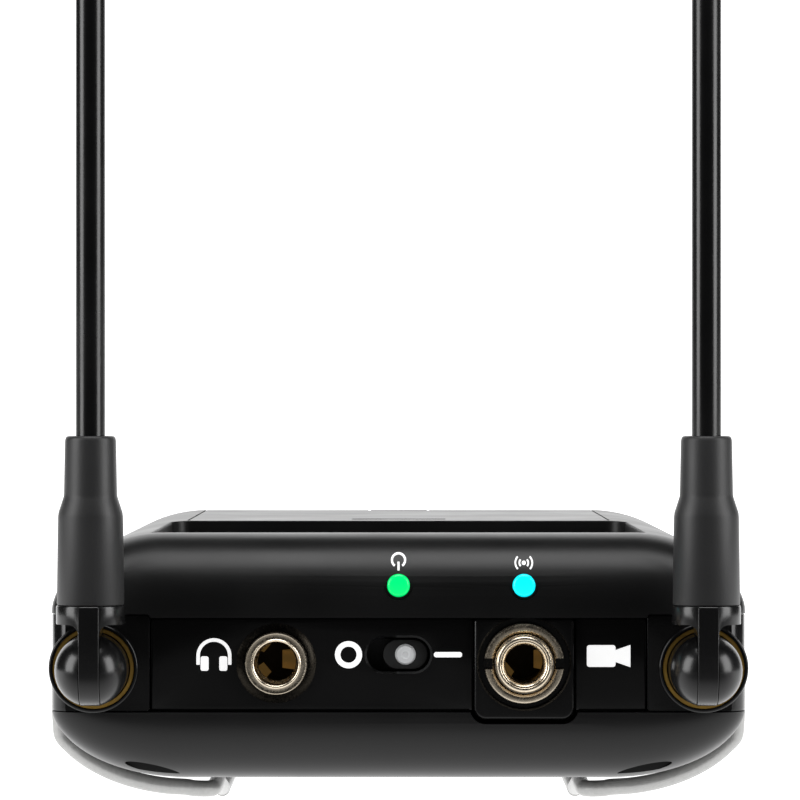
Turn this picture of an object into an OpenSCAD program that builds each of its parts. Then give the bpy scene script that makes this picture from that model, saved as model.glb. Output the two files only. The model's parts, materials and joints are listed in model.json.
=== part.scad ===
// Portable two-antenna wireless receiver, lying on its belt clip.
// X is the width, Y runs from the connector end (-Y) to the battery end, Z is up through the front.

/* [Case] */
// Width of the case across its sides
case_w = 65.5; // [64:0.5:70]
// Length of the case from the connector panel to the battery end
case_l = 106; // [106:1:112]
// Thickness of the case from its back to its front
case_t = 23.2; // [22.5:0.1:25]
// Wall thickness of the shells
wall = 1.6; // [1.2:0.1:2]
// Height of the joint between the rear and the front shell
split_z = 6.5; // [6:0.1:7]
// Gap left between fitted pieces
seam = 0.08; // [0.04:0.01:0.12]

/* [Connector panel] */
// Height of the headphone jack above the back of the case
jack_z = 11.1; // [10.5:0.1:11.5]
// Distance of the headphone jack from the middle
phone_x = 11.5; // [11:0.1:12]
// Distance of the locking jack from the middle
lock_x = 11.8; // [11.5:0.1:12]
// Radius of the jack bores, for a 3.5 mm plug
plug_r = 1.8; // [1.78:0.01:1.85]
// Travel of the power slider
slider_travel = 1.5; // [1:0.1:1.6]

/* [Antennas] */
// Distance of each swivel axis from the middle
swivel_x = 28.6; // [28.5:0.1:29]
// Height of the swivel axes above the back of the case
swivel_z = 10.7; // [10.5:0.1:11]
// Distance of the fold axis in front of the panel
fold_y = 5.4; // [5.3:0.1:6]
// Radius of the swivel's ball
ball_r = 3.35; // [3.2:0.05:3.4]
// Radius of the whip
whip_r = 1.37; // [1.2:0.01:1.5]
// Length of the antenna from the fold axis to the tip
antenna_l = 76; // [70:1:100]

/* [Belt clip] */
// Diameter of the clip's wire
wire_d = 1.6; // [1.4:0.1:1.8]
// Gap for the belt between the wire and the back
belt_gap = 3; // [2.5:0.1:3.4]

/* [Battery bay] */
// Length of an AA cell without its nub
cell_l = 49.2; // [49:0.1:50]
// Radius of an AA cell
cell_r = 7.05; // [6.9:0.05:7.1]

/* [Hidden] */
$fn = 48;

// Where the case stands in the frame: the whole object's box is centred on the origin.
back_z = wire_d + belt_gap;
reach = fold_y + ball_r;
panel_y = -(case_l - reach) / 2;
half_w = case_w / 2;

// Corner shapes of the case.
low_rx = 12.6;
low_rz = 6.9;
top_rx = 10.6;
top_rz = 7.3;
shoulder_out = 0.8;
shoulder_in = 6;
shoulder_z = 15.4;
foot_out = 0.8;
foot_r = 6;
tail_r = 5;
plan_near_r = 3;
plan_far_r = 8;

// Connector end.
panel_t = 1.5;
panel_top = 15.3;
block_x = 23.4;
block_l = 8;
block_face = 0.3;
block_top = 15.6;
camera_half = 4.7;
camera_low = 5.8;
camera_r = 1.1;
camera_gap = 0.4;
camera_out = 0.5;
lanyard_x = 23.2;
lanyard_z = 1;
lanyard_tilt = 13;
lens_z = 18.4;
lens_r = 1.05;
slot_half = 3;
slot_r = 1.6;
slot_z = 11.9;
bush_r = 2.93;
barrel_r = 2.75;
nut_r = 3.75;
nut_t = 1.3;
spanner_w = 1.2;

// Swivels.
rim_r = 4.2;
rim_t = 1.3;
rim_y = -block_face - rim_t;
ring_out_r = 3.84;
ring_in_r = 3.42;
shaft_r = 2.2;
keeper_r = 2.8;
run = 0.05;
pin_r = 0.6;
tongue_t = 1.9;
slot_t = 2;
cap_r = 3.2;
cap_low = 4.35;
cap_high = 6.1;
neck_r = 0.95;
boot_pin_r = 1.1;

// Front face.
deck_drop = 1.9;
deck_near = 7;
deck_far = 50.5;
deck_half = 23.6;
window_near = 12;
window_far = 34;
window_half = 17;
key_y = 43;
key_x = 7;
key_r = 1.7;
key_low = 19.65;
key_top = 0.8;

// Battery bay.
door_near = 52.5;
door_half = 22;
door_t = 1.6;
hinge_y = 100;
hinge_z = case_t - door_t;
tray_far = 101.5;
tray_wall = 1;
cell_x = 7.5;
cell_z = 10.6;
nub_l = 1.3;
nub_r = 2.7;
plate_t = 0.4;
spring_l = 3.2;
bay_far = tray_far - tray_wall;
bay_near = bay_far - cell_l - nub_l - plate_t - spring_l;
tray_near = bay_near - tray_wall;

// Screws hold the shells together from the back.
screw_x = 25.5;
screw_y = [26, 93];
screw_sink = 1.2;
boss_r = 2.4;
screw_r = 1;
head_r = 1.9;

// Belt clip.
wire_r = wire_d / 2;
clip_y = 14.5;
pivot_y = 13.6;
pivot_z = 12;
arm_x = half_w + 0.15;
pocket_x = half_w - 1;
leg_x = 18;

function arc(cx, cy, rx, ry, from, to, n = 10) =
    [for (i = [0:n]) let (a = from + (to - from) * i / n) [cx + rx * cos(a), cy + ry * sin(a)]];
function mirrored(p) = concat(p, [for (i = [len(p) - 1:-1:0]) [-p[i][0], p[i][1]]]);

module place() { translate([0, panel_y, back_z]) children(); }
module block(x, y, z) { translate([x[0], y[0], z[0]]) cube([x[1] - x[0], y[1] - y[0], z[1] - z[0]]); }
module along_y(r, y) { translate([0, y[0], 0]) rotate([-90, 0, 0]) cylinder(r = r, h = y[1] - y[0]); }
module along_x(r, x) { translate([x[0], 0, 0]) rotate([0, 90, 0]) cylinder(r = r, h = x[1] - x[0]); }

// Cross-section, side view and plan of the case, each drawn in by the same inset.
module section(inset) {
    polygon(mirrored(concat(
        arc(half_w - low_rx, low_rz, low_rx - inset, low_rz - inset, -90, 0),
        arc(half_w - top_rx, case_t - top_rz, top_rx - inset, top_rz - inset, 0, 90))));
}
module profile(inset) {
    polygon(concat(
        arc(foot_r - foot_out, foot_r, foot_r - inset, foot_r - inset, 270, 180),
        arc(shoulder_in, shoulder_z, shoulder_in + shoulder_out - inset, case_t - shoulder_z - inset,
            180, 90, 12),
        arc(case_l - tail_r, case_t - tail_r, tail_r - inset, tail_r - inset, 90, 0, 8),
        arc(case_l - tail_r, tail_r, tail_r - inset, tail_r - inset, 0, -90, 8)));
}
module plan(inset) {
    polygon(mirrored(concat(
        arc(half_w - plan_near_r, plan_near_r - shoulder_out, plan_near_r - inset, plan_near_r - inset,
            -90, 0, 6),
        arc(half_w - plan_far_r, case_l - plan_far_r, plan_far_r - inset, plan_far_r - inset, 0, 90, 8))));
}
module case_solid(inset) {
    intersection() {
        translate([0, case_l + 1, 0]) rotate([90, 0, 0]) linear_extrude(case_l + 4) section(inset);
        translate([-half_w - 1, 0, 0]) rotate([90, 0, 90]) linear_extrude(case_w + 2) profile(inset);
        translate([0, 0, -1]) linear_extrude(case_t + 2) plan(inset);
    }
}
module case_shell(z) {
    difference() {
        intersection() {
            case_solid(0);
            block([-half_w - 2, half_w + 2], [-2, case_l + 2], z);
        }
        case_solid(wall);
    }
}
module at_screws() { for (s = [-1, 1], y = screw_y) translate([s * screw_x, y, 0]) children(); }
module clip_pockets() {
    for (s = [-1, 1]) scale([s, 1, 1]) {
        block([pocket_x, half_w + 1], [pivot_y - 2.6, pivot_y + 3], [-1, pivot_z + 1.6]);
        translate([0, pivot_y, pivot_z]) along_x(wire_r + run, [half_w - 2.2, half_w + 1]);
    }
}

// Front view of the camera panel, grown all round by a gap.
module camera_outline(gap, y, top) {
    half = camera_half + gap;
    low = camera_low - gap;
    r = camera_r + gap;
    block([lock_x - half, lock_x + half], y, [low + r, top]);
    block([lock_x - half + r, lock_x + half - r], y, [low, top]);
    for (s = [-1, 1]) translate([lock_x + s * (half - r), 0, low + r]) along_y(r, y);
}

module rear_shell() {
    color([0.07, 0.07, 0.075]) place() difference() {
        union() {
            case_shell([-1, split_z]);
            intersection() {
                at_screws() cylinder(r = boss_r, h = 5);
                case_solid(0.5);
            }
            intersection() {
                for (s = [-1, 1]) scale([s, 1, 1])
                    block([half_w - 2.9, half_w], [pivot_y - 3.9, pivot_y + 4.5], [2, split_z]);
                case_solid(0);
            }
        }
        clip_pockets();
        at_screws() translate([0, 0, -1]) cylinder(r = screw_r + 0.1, h = 6);
        at_screws() translate([0, 0, -1]) cylinder(r = head_r + 0.1, h = screw_sink + 1);
        at_screws() translate([0, 0, screw_sink - 0.01])
            cylinder(r1 = head_r + 0.1, r2 = screw_r + 0.1, h = 1.2);
        camera_outline(camera_gap, [-2, panel_t + 0.2], split_z + 1);
        for (s = [-1, 1]) translate([s * lanyard_x, 0, lanyard_z]) rotate([90, s * lanyard_tilt, 0])
            translate([0, 0, -2.8]) linear_extrude(5) polygon(arc(0, 0, 2.7, 0.45, 0, 345, 23));
    }
}
module front_shell() {
    color([0.06, 0.06, 0.065]) place() difference() {
        union() {
            case_shell([split_z + seam, case_t + 1]);
            intersection() {
                union() {
                    at_screws() translate([0, 0, 5 + seam]) cylinder(r = boss_r, h = case_t);
                    for (s = [-1, 1]) scale([s, 1, 1])
                        block([half_w - 2.9, half_w], [pivot_y - 3.9, pivot_y + 4.5], [split_z + seam, 15]);
                    for (x = [-door_half - 2.4, door_half + 0.4])
                        block([x, x + 2], [hinge_y - 2.4, case_l], [hinge_z - 3, case_t - 0.4]);
                    block([-3, 3], [hinge_y - 1.5, case_l], [hinge_z - 1.5, hinge_z + 1.4]);
                    block([-deck_half - 1.5, deck_half + 1.5], [deck_near - 1.5, deck_far + 1.5],
                        [case_t - deck_drop - 2.2, case_t - 0.1]);
                }
                case_solid(0.3);
            }
        }
        clip_pockets();
        // Window for the connector panel and the two antenna blocks.
        block([-block_x - 0.05, block_x + 0.05], [-3, panel_t + seam], [split_z - 1, panel_top + seam]);
        for (s = [-1, 1]) scale([s, 1, 1])
            block([block_x - seam, half_w + 2], [-3, block_l + seam], [split_z - 1, block_top + seam]);
        for (s = [-1, 1]) translate([s * swivel_x, 0, swivel_z])
            along_y(keeper_r + 0.15, [block_l, block_l + 1.5]);
        for (x = [0, lock_x]) translate([x, 0, lens_z]) {
            along_y(lens_r + 0.02, [-3, 4]);
            along_y(lens_r + 0.3, [-3, -0.35]);
        }
        // Sunken control panel, open below for the display and the keys.
        block([-deck_half, deck_half], [deck_near, deck_far], [case_t - deck_drop, case_t + 1]);
        block([-deck_half + 1.5, deck_half - 1.5], [deck_near + 1.5, deck_far - 1.5], [case_t - 6, case_t]);
        // Battery opening, with room for the door's knuckles.
        block([-door_half - 0.2, door_half + 0.2], [door_near - 0.2, hinge_y - 2], [case_t - 6, case_t + 1]);
        for (s = [-1, 1]) scale([s, 1, 1])
            block([3.2, door_half + 0.2], [hinge_y - 2.5, hinge_y + 2.1], [hinge_z - 2.1, case_t + 1]);
        block([-3.3, 3.3], [hinge_y - 2.5, hinge_y + 2.1], [hinge_z + 1.2, case_t + 1]);
        translate([0, hinge_y, hinge_z]) along_x(0.5, [-door_half - 3, door_half + 3]);
        at_screws() cylinder(r = screw_r * 0.85, h = 14);
    }
}
module end_panel() {
    color([0.05, 0.05, 0.055]) place() difference() {
        block([-block_x + 0.1, block_x - 0.1], [0, panel_t], [split_z + 0.1, panel_top]);
        block([lock_x - camera_half - seam, lock_x + camera_half + seam], [-1, 3], [5, 16]);
        translate([-phone_x, 0, jack_z]) {
            along_y(bush_r + 0.02, [-1, 3]);
            translate([0, -0.01, 0]) rotate([-90, 0, 0]) cylinder(r1 = 3.55, r2 = bush_r, h = 0.7);
        }
        for (x = [-slot_half + slot_r, slot_half - slot_r])
            translate([x, 0, slot_z]) along_y(slot_r, [-1, 3]);
        block([-slot_half + slot_r, slot_half - slot_r], [-1, 3], [slot_z - slot_r, slot_z + slot_r]);
    }
}
module camera_panel() {
    color([0.05, 0.05, 0.055]) place() difference() {
        camera_outline(0, [-camera_out, panel_t], panel_top);
        translate([lock_x, 0, jack_z]) {
            along_y(barrel_r + 0.02, [-2, 3]);
            along_y(4.35, [-2, 0]);
        }
    }
}
module control_panel() {
    deck_z = case_t - deck_drop;
    color([0.04, 0.04, 0.045]) place() difference() {
        block([-deck_half + 0.1, deck_half - 0.1], [deck_near + 0.1, deck_far - 0.1],
            [deck_z, deck_z + 0.5]);
        block([-window_half - 0.1, window_half + 0.1], [window_near - 0.1, window_far + 0.1],
            [deck_z - 1, deck_z + 1]);
        for (s = [-1, 1]) translate([s * key_x, key_y, deck_z - 1]) cylinder(r = key_r + 0.15, h = 3);
    }
}
module case_screws() {
    color([0.35, 0.35, 0.37]) place() at_screws() difference() {
        union() {
            translate([0, 0, screw_sink]) cylinder(r1 = head_r, r2 = screw_r, h = 1.1);
            translate([0, 0, screw_sink]) cylinder(r = screw_r * 0.85, h = 11);
        }
        translate([0, 0, screw_sink - 0.4]) for (a = [0, 90]) rotate(a) cube([2, 0.5, 2], center = true);
    }
}

// Corner block that carries an antenna socket. side is -1 on the left and 1 on the right.
module antenna_block(side) {
    color([0.05, 0.05, 0.055]) place() scale([side, 1, 1]) difference() {
        intersection() {
            case_solid(0.05);
            block([block_x, half_w], [-block_face, block_l], [split_z + 0.1, block_top]);
        }
        translate([swivel_x, 0, swivel_z]) along_y(shaft_r + run, [-2, block_l + 1]);
    }
}
module socket_rim(side) {
    color([0.03, 0.03, 0.03]) place() translate([side * swivel_x, 0, swivel_z]) difference() {
        along_y(rim_r, [rim_y, -block_face]);
        along_y(ring_out_r + 0.01, [rim_y - 1, 1]);
    }
}
module friction_ring(side) {
    color([0.72, 0.53, 0.18]) place() translate([side * swivel_x, 0, swivel_z]) difference() {
        along_y(ring_out_r, [rim_y + 0.1, -block_face]);
        along_y(ring_in_r, [rim_y - 1, 1]);
    }
}
module turret(side) {
    color([0.08, 0.08, 0.09]) place() translate([side * swivel_x, 0, swivel_z]) difference() {
        union() {
            translate([0, -fold_y, 0]) sphere(r = ball_r);
            along_y(ball_r, [-fold_y, -block_face - 0.05]);
            along_y(shaft_r, [-1, block_l + 1.4]);
        }
        block([-slot_t / 2, slot_t / 2], [-fold_y - 5, -fold_y + ball_r + 0.1], [-5, 5]);
        translate([0, -fold_y, 0]) along_x(pin_r, [-2.7, 2.7]);
        difference() {
            along_y(shaft_r + 1, [block_l + 0.3, block_l + 0.9]);
            along_y(shaft_r - 0.4, [block_l, block_l + 1.2]);
        }
    }
}
module retaining_ring(side) {
    color([0.6, 0.6, 0.62]) place() translate([side * swivel_x, 0, swivel_z]) difference() {
        along_y(keeper_r, [block_l + 0.32, block_l + 0.88]);
        along_y(shaft_r - 0.4, [block_l, block_l + 2]);
        block([-1.2, 1.2], [block_l, block_l + 2], [0, 5]);
    }
}
module fold_pin(side) {
    color([0.7, 0.7, 0.72]) place() translate([side * swivel_x, -fold_y, swivel_z])
        along_x(pin_r, [-2.6, 2.6]);
}
module antenna_at(side) { place() translate([side * swivel_x, -fold_y, swivel_z]) children(); }
// The tongue is round below the fold axis and flat above it, up to the cap.
module antenna_base(side) {
    tongue_r = ball_r - 0.1;
    color([0.04, 0.04, 0.045]) antenna_at(side) difference() {
        union() {
            along_x(tongue_r, [-tongue_t / 2, tongue_t / 2]);
            block([-tongue_t / 2, tongue_t / 2], [-tongue_r, tongue_r], [0, cap_high]);
            intersection() {
                translate([0, 0, cap_low - neck_r]) cylinder(r = cap_r, h = cap_high - cap_low + neck_r);
                block([-5, 5], [-5, 5], [0, cap_high]);
            }
            cylinder(r = boot_pin_r, h = 10);
        }
        for (s = [-1, 1]) scale([s, 1, 1]) {
            translate([tongue_t / 2 + neck_r, 0, cap_low - neck_r]) along_y(neck_r, [-5, 5]);
            block([tongue_t / 2 + neck_r, 5], [-5, 5], [0, cap_low]);
            block([tongue_t / 2, 5], [-5, 5], [-1, cap_low - neck_r]);
        }
        along_x(pin_r + run, [-3, 3]);
    }
}
module antenna_boot(side) {
    color([0.2, 0.2, 0.2]) antenna_at(side) difference() {
        rotate_extrude() polygon([
            [0, cap_high], [3.13, cap_high], [3.0, 14.6], [2.48, 16.15],
            [2.37, 21.5], [2.1, 21.8], [0, 21.8]]);
        translate([0, 0, 5]) cylinder(r = boot_pin_r, h = 5);
        translate([0, 0, 9.99]) cylinder(r = whip_r, h = 15);
    }
}
module antenna_whip(side) {
    color([0.03, 0.03, 0.035]) antenna_at(side) translate([0, 0, 10.05])
        cylinder(r = whip_r, h = antenna_l - 13.4 - 10.05);
}
module antenna_tip(side) {
    color([0.03, 0.03, 0.035]) antenna_at(side) translate([0, 0, antenna_l - 13.35]) rotate_extrude()
        polygon(concat([[0, 0], [1.42, 0]], arc(0, 12, 1.42, 1.35, 0, 90, 8)));
}

module headphone_bush() {
    color([0.79, 0.72, 0.62]) place() translate([-phone_x, 0, jack_z]) difference() {
        along_y(bush_r, [-1, 3]);
        along_y(plug_r, [-2, 4]);
        translate([0, -1.01, 0]) rotate([-90, 0, 0]) cylinder(r1 = 2.2, r2 = plug_r, h = 0.5);
    }
}
module jack_body(x) {
    translate([x, 0, jack_z]) difference() {
        block([-3.1, 3.1], [3.05, 14.5], [-3.1, 2.8]);
        along_y(2.15, [3, 13.5]);
    }
}
module jack_contacts(x) {
    for (a = [0, 120, 240]) translate([x, 0, jack_z]) rotate([0, a, 0])
        block([1.84, 2.1], [4 + a / 60, 9 + a / 60], [-0.5, 0.5]);
}
module headphone_body() { color([0.08, 0.08, 0.09]) place() jack_body(-phone_x); }
module headphone_contacts() { color([0.83, 0.62, 0.28]) place() jack_contacts(-phone_x); }
module camera_bush() {
    color([0.79, 0.72, 0.62]) place() translate([lock_x, 0, jack_z]) difference() {
        along_y(barrel_r, [-2.2, 3]);
        along_y(plug_r, [-3, 4]);
        difference() {
            along_y(2.2, [-3, -1.4]);
            along_y(2.05, [-4, 0]);
        }
        translate([0, -2.21, 0]) rotate([-90, 0, 0]) cylinder(r1 = 2.0, r2 = plug_r, h = 0.3);
    }
}
module ring_nut() {
    color([0.79, 0.72, 0.62]) place() translate([lock_x, 0, jack_z]) difference() {
        along_y(nut_r, [-nut_t, 0]);
        along_y(barrel_r + 0.01, [-3, 1]);
        for (s = [-1, 1]) translate([s * 3.4, 0, 0])
            block([-0.62, 1], [-nut_t - 1, -0.45], [-spanner_w / 2, spanner_w / 2]);
    }
}
module camera_body() { color([0.08, 0.08, 0.09]) place() jack_body(lock_x); }
module camera_contacts() { color([0.83, 0.62, 0.28]) place() jack_contacts(lock_x); }

module power_switch_body() {
    color([0.1, 0.1, 0.11]) place() translate([0, 0, slot_z]) difference() {
        block([-4.6, 4.6], [panel_t + 0.1, 6.2], [-2.4, 2.4]);
        block([-3.2, 3.2], [panel_t, 3.2], [-1.65, 1.65]);
    }
}
module power_slider() {
    slide = slider_travel / 2;
    color([0.12, 0.12, 0.13]) place() translate([slide - 0.1, 0, slot_z]) union() {
        for (s = [-1, 1]) translate([s * 0.7, 0, 0]) along_y(1.4, [0.55, 1.6]);
        block([-0.7, 0.7], [0.55, 1.6], [-1.4, 1.4]);
        block([-2, 2], [panel_t + 0.08, 3.1], [-1.4, 1.4]);
        along_y(0.85, [-0.4, 1]);
    }
}
module lens(x) { translate([x, 0, lens_z]) along_y(lens_r, [-0.55, 3.4]); }
module power_lens() { color([0, 0.9, 0.45]) place() lens(0); }
module signal_lens() { color([0, 0.75, 1]) place() lens(lock_x); }
module indicator_leds() {
    color([0.9, 0.9, 0.85]) place() for (x = [0, lock_x]) block([x - 0.8, x + 0.8], [3.5, 4.6], [17, 19.4]);
}
module main_board() {
    color([0.05, 0.28, 0.14]) place() difference() {
        block([-22, 22], [3.1, 43.5], [6.9, 7.9]);
        at_screws() translate([0, 0, 5]) cylinder(r = boss_r + 0.3, h = 5);
    }
}
module rf_shields() {
    color([0.75, 0.75, 0.76]) place() {
        block([-20, -2], [17, 40], [7.95, 10.9]);
        block([2, 20], [17, 40], [7.95, 10.9]);
    }
}
module display_board() {
    color([0.05, 0.28, 0.14]) place() block([-20.5, 20.5], [3.6, 44.5], [16, 16.95]);
}
module display_module() {
    color([0.75, 0.78, 0.74]) place()
        block([-window_half + 0.2, window_half - 0.2], [window_near + 0.2, window_far - 0.2],
            [17, case_t - deck_drop - 1.1]);
}
module display_window() {
    deck_z = case_t - deck_drop;
    color([0.1, 0.11, 0.12]) place()
        block([-window_half, window_half], [window_near, window_far], [deck_z - 1, deck_z + 0.45]);
}
module key_switches() {
    color([0.6, 0.6, 0.62]) place() for (s = [-1, 1]) translate([s * key_x, key_y, 0]) {
        block([-2, 2], [-2, 2], [17, 18.8]);
        translate([0, 0, 18.8]) cylinder(r = 0.8, h = 0.4);
    }
}
module key(x) {
    color([0.03, 0.03, 0.03]) place() translate([x, key_y, 0]) union() {
        translate([0, 0, key_low]) cylinder(r = key_r, h = case_t - deck_drop + key_top - key_low);
        translate([0, 0, key_low + 0.35]) cylinder(r = key_r + 0.6, h = 0.8);
    }
}
module menu_button() { key(-key_x); }
module set_button() { key(key_x); }

module battery_tray() {
    color([0.1, 0.1, 0.11]) place() difference() {
        block([-16.2, 16.2], [tray_near, tray_far], [1.75, 17.5]);
        block([-15, 15], [bay_near, bay_far], [3.3, 18]);
    }
}
module cell(x, out) {
    start = out > 0 ? bay_near + spring_l : bay_near + plate_t + nub_l;
    translate([x, 0, cell_z]) {
        along_y(cell_r, [start, start + cell_l]);
        if (out > 0) along_y(nub_r, [start + 1, start + cell_l + nub_l]);
        if (out < 0) along_y(nub_r, [start - nub_l, start + cell_l - 1]);
    }
}
module cell_left() { color([0.62, 0.45, 0.2]) place() cell(-cell_x, 1); }
module cell_right() { color([0.62, 0.45, 0.2]) place() cell(cell_x, -1); }

// A coil of round wire: rings of points along a conical helix.
coil_steps = 48;
coil_sides = 8;
coil_turns = 3;
coil_wire = 0.3;
function coil_ring(f, y0, y1) = let (a = 360 * coil_turns * f, r = 3.6 - 1.4 * f, y = y0 + (y1 - y0) * f)
    [for (k = [0:coil_sides - 1]) let (t = 360 * k / coil_sides, q = r + coil_wire * cos(t))
        [q * cos(a), y + coil_wire * sin(t), q * sin(a)]];
module coil(y0, y1) {
    n = coil_sides;
    rings = [for (i = [0:coil_steps]) coil_ring(i / coil_steps, y0, y1)];
    faces = concat(
        [for (i = [0:coil_steps - 1], k = [0:n - 1])
            let (a = i * n + k, b = i * n + (k + 1) % n) [a, a + n, b + n, b]],
        [[for (k = [0:n - 1]) k], [for (k = [n - 1:-1:0]) coil_steps * n + k]]);
    polyhedron([for (r = rings) each r], faces);
}
module contact_springs() {
    color([0.8, 0.8, 0.8]) place() {
        for (side = [-1, 1]) translate([side * cell_x, (bay_near + bay_far) / 2, cell_z])
            rotate(side < 0 ? 0 : 180) coil(-(bay_far - bay_near) / 2 + 0.35,
                -(bay_far - bay_near) / 2 + spring_l - 0.32);
    }
}
module contact_plates() {
    color([0.8, 0.8, 0.8]) place() {
        block([-cell_x - 4, -cell_x + 4], [bay_far - plate_t, bay_far], [5, 15]);
        block([cell_x - 4, cell_x + 4], [bay_near, bay_near + plate_t], [5, 15]);
    }
}
module battery_door() {
    color([0.2, 0.2, 0.21]) place() difference() {
        union() {
            intersection() {
                case_solid(0);
                block([-door_half, door_half], [door_near, hinge_y], [hinge_z, case_t + 1]);
            }
            for (s = [-1, 1]) scale([s, 1, 1]) translate([0, hinge_y, hinge_z])
                along_x(door_t - 0.05, [3.5, door_half - 0.2]);
        }
        block([-3.5, 3.5], [hinge_y - 2.6, hinge_y + 2], [hinge_z - 2, case_t + 1]);
        translate([0, hinge_y, hinge_z]) along_x(0.5 + run, [-door_half - 1, door_half + 1]);
        for (i = [0:4]) translate([0, door_near + 3 + i * 1.2, 0])
            block([-5, 5], [0, 0.5], [case_t - 0.4, case_t + 1]);
    }
}
module door_pin() {
    color([0.7, 0.7, 0.72]) place() translate([0, hinge_y, hinge_z])
        along_x(0.5, [-door_half - 1.8, door_half + 1.8]);
}

// The clip is one bent wire, the same on both sides: arm, corner, leg and the loop at its free end.
corner_rx = low_rx + wire_r + 0.35;
corner_rz = low_rz + 1.7;
function corner_points() =
    [for (p = arc(-half_w + low_rx, low_rz, corner_rx, corner_rz, 205, 268, 9)) [p[0], clip_y, p[1]]];
leg_z = -belt_gap - wire_r;
function clip_half() = concat(
    [[-arm_x, pivot_y, pivot_z + wire_r], [-arm_x, pivot_y, pivot_z - 2], [-arm_x, pivot_y + 0.3, 6.4],
     [-arm_x + 0.05, pivot_y + 0.7, 4.6]],
    corner_points(),
    [[-leg_x - 1.8, clip_y + 0.3, -1.85], [-leg_x - 0.5, clip_y + 1.2, -1.95], [-leg_x, clip_y + 3, -1.95],
     [-leg_x, 27, -2.15], [-leg_x, 38, leg_z + 0.2], [-leg_x, 42, leg_z], [-leg_x, 78, leg_z],
     [-leg_x, 82, leg_z + 0.4],
     [-leg_x + 0.4, 88, -1.9], [-leg_x + 2, 91, -1.25], [-leg_x + 5, 92.3, -1.1]]);
function spline(p0, p1, p2, p3, t) = 0.5 * (2 * p1 + (p2 - p0) * t
    + (2 * p0 - 5 * p1 + 4 * p2 - p3) * t * t + (3 * p1 - p0 - 3 * p2 + p3) * t * t * t);
function smoothed(p, n) = concat(
    [for (i = [0:len(p) - 2], j = [0:n - 1])
        spline(p[max(i - 1, 0)], p[i], p[i + 1], p[min(i + 2, len(p) - 1)], j / n)],
    [p[len(p) - 1]]);
function unit(v) = v / norm(v);
function heading(p, i) = unit(p[min(i + 1, len(p) - 1)] - p[max(i - 1, 0)]);
function square_to(v, d) = unit(v - (v * d) * d);
// Side vectors carried along the route without twist.
function carried(p, v, i = 0) = i == len(p) ? [] :
    let (w = square_to(v, heading(p, i))) concat([w], carried(p, w, i + 1));
module wire(p, start_side) {
    n = 12;
    side = carried(p, start_side);
    rings = [for (i = [0:len(p) - 1]) let (u = side[i], v = cross(heading(p, i), u))
        [for (k = [0:n - 1]) p[i] + wire_r * (cos(360 * k / n) * u + sin(360 * k / n) * v)]];
    faces = concat(
        [for (i = [0:len(p) - 2], k = [0:n - 1])
            let (a = i * n + k, b = i * n + (k + 1) % n) [a, a + n, b + n, b]],
        [[for (k = [0:n - 1]) k], [for (k = [n - 1:-1:0]) (len(p) - 1) * n + k]]);
    polyhedron([for (r = rings) each r], faces);
}
module belt_clip() {
    half = clip_half();
    route = concat(half, [for (i = [len(half) - 1:-1:0]) [-half[i][0], half[i][1], half[i][2]]]);
    color([0.78, 0.78, 0.77]) place() union() {
        wire(smoothed(route, 2), [0, 0, 1]);
        for (s = [-1, 1]) translate([0, pivot_y, pivot_z]) scale([s, 1, 1])
            along_x(wire_r, [half_w - 2, arm_x]);
    }
}

rear_shell();
front_shell();
end_panel();
camera_panel();
control_panel();
case_screws();
antenna_block(-1);  // antenna_block_left
antenna_block(1);  // antenna_block_right
socket_rim(-1);  // socket_rim_left
socket_rim(1);  // socket_rim_right
friction_ring(-1);  // friction_ring_left
friction_ring(1);  // friction_ring_right
headphone_bush();
headphone_body();
headphone_contacts();
camera_bush();
ring_nut();
camera_body();
camera_contacts();
power_switch_body();
power_slider();
power_lens();
signal_lens();
indicator_leds();
main_board();
rf_shields();
display_board();
display_module();
display_window();
key_switches();
menu_button();
set_button();
battery_tray();
cell_left();
cell_right();
contact_springs();
contact_plates();
battery_door();
door_pin();
belt_clip();
turret(-1);  // turret_left
turret(1);  // turret_right
retaining_ring(-1);  // retaining_ring_left
retaining_ring(1);  // retaining_ring_right
fold_pin(-1);  // fold_pin_left
fold_pin(1);  // fold_pin_right
antenna_base(-1);  // antenna_base_left
antenna_base(1);  // antenna_base_right
antenna_boot(-1);  // antenna_boot_left
antenna_boot(1);  // antenna_boot_right
antenna_whip(-1);  // antenna_whip_left
antenna_whip(1);  // antenna_whip_right
antenna_tip(-1);  // antenna_tip_left
antenna_tip(1);  // antenna_tip_right
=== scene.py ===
"""Looks of the portable two-antenna wireless receiver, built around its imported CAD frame."""

import json
import math

import bmesh
import bpy
from mathutils import Matrix, Vector


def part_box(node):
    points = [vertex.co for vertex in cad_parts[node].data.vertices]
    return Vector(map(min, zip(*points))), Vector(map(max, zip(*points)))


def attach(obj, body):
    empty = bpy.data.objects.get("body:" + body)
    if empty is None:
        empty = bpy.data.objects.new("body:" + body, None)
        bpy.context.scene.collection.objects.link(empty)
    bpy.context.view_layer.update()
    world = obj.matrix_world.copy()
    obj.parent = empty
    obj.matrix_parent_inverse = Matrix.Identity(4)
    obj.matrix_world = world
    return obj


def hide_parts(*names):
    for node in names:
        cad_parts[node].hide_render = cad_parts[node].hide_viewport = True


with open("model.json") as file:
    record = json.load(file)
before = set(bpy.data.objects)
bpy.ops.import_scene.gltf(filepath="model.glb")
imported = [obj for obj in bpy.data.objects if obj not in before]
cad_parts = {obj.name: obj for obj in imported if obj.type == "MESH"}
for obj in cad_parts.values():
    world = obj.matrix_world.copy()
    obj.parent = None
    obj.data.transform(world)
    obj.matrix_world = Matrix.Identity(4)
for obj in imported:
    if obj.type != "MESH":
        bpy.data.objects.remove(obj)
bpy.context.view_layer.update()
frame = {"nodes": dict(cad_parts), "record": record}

# ---------------------------------------------------------------- dimensions, in millimetres
# x runs across the case, y from the connector panel into the case, z from the case's back to its front.
MM = 0.001
PANEL_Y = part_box("end_panel")[0][1] / MM
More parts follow.
